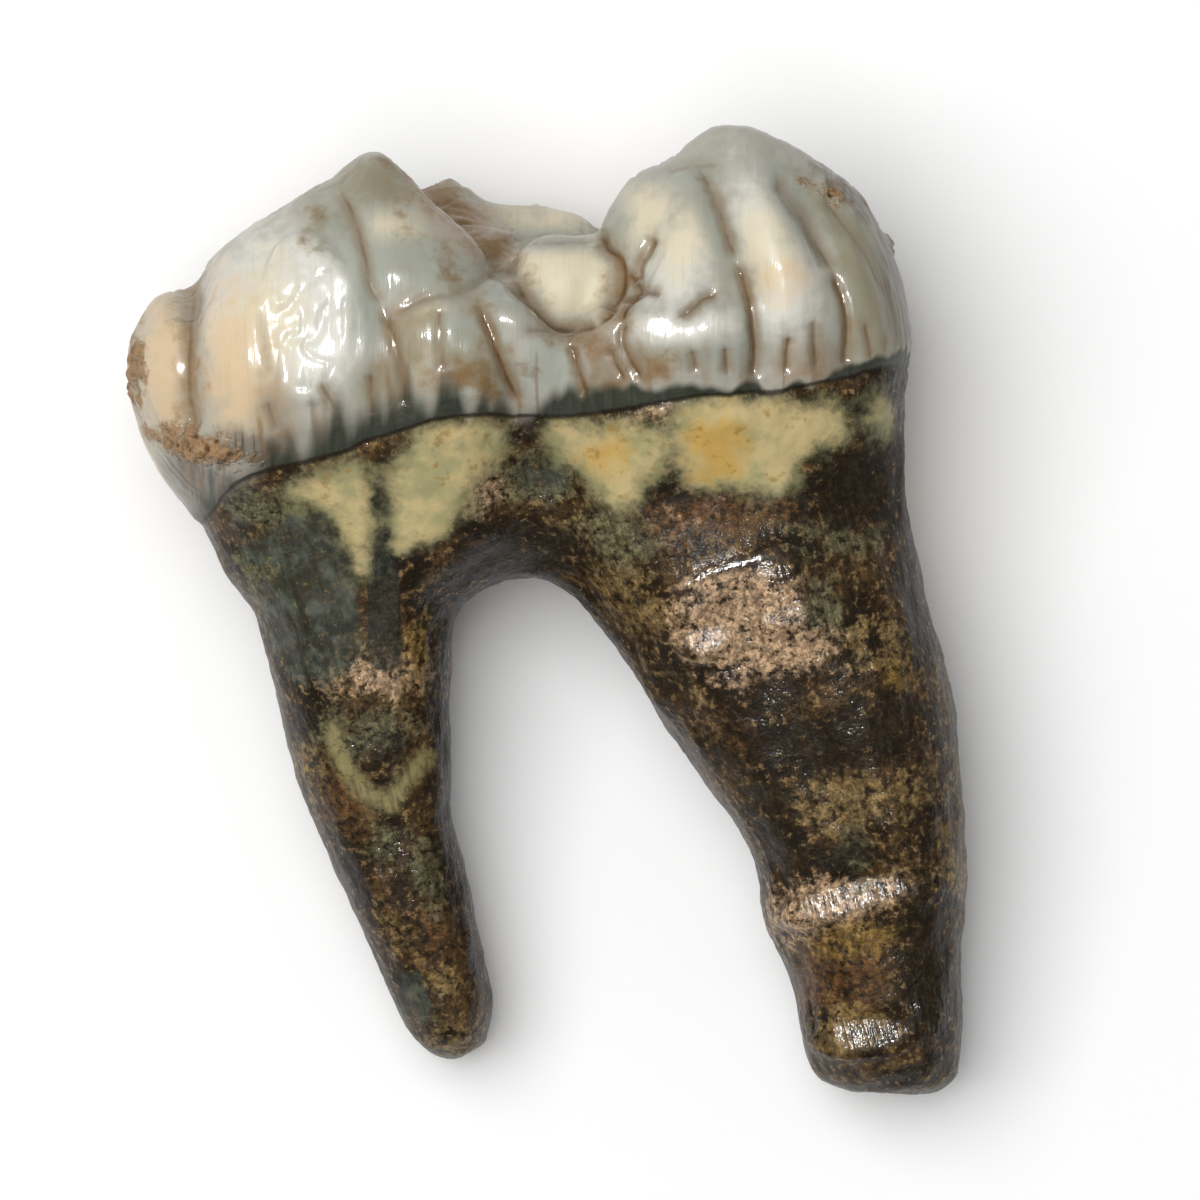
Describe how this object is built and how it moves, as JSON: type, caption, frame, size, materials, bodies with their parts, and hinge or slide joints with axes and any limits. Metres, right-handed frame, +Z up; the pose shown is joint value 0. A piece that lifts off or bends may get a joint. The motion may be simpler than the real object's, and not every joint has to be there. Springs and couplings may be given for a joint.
{
  "type": "fossil cave bear molar",
  "caption": "Fossil bear cheek tooth lying on its side: a lobed enamel crown with a tubercle in its notch, a trunk, and a pair of long roots that spread apart.",
  "frame": {"origin": "on the surface that the tooth lies on, under the middle of its outline", "axes": "+Z up out of the cheek side, +Y from the root tips to the cusps, +X along the crown to its rear end"},
  "size_m": [0.0324, 0.0372, 0.0157],
  "materials": {
    "fossil_tooth": "polished fossil: cream enamel over dark brown, slate and tan mineral-stained roots"
  },
  "bodies": {
    "root": {"molar": "fossil_tooth"}
  },
  "joints": []
}
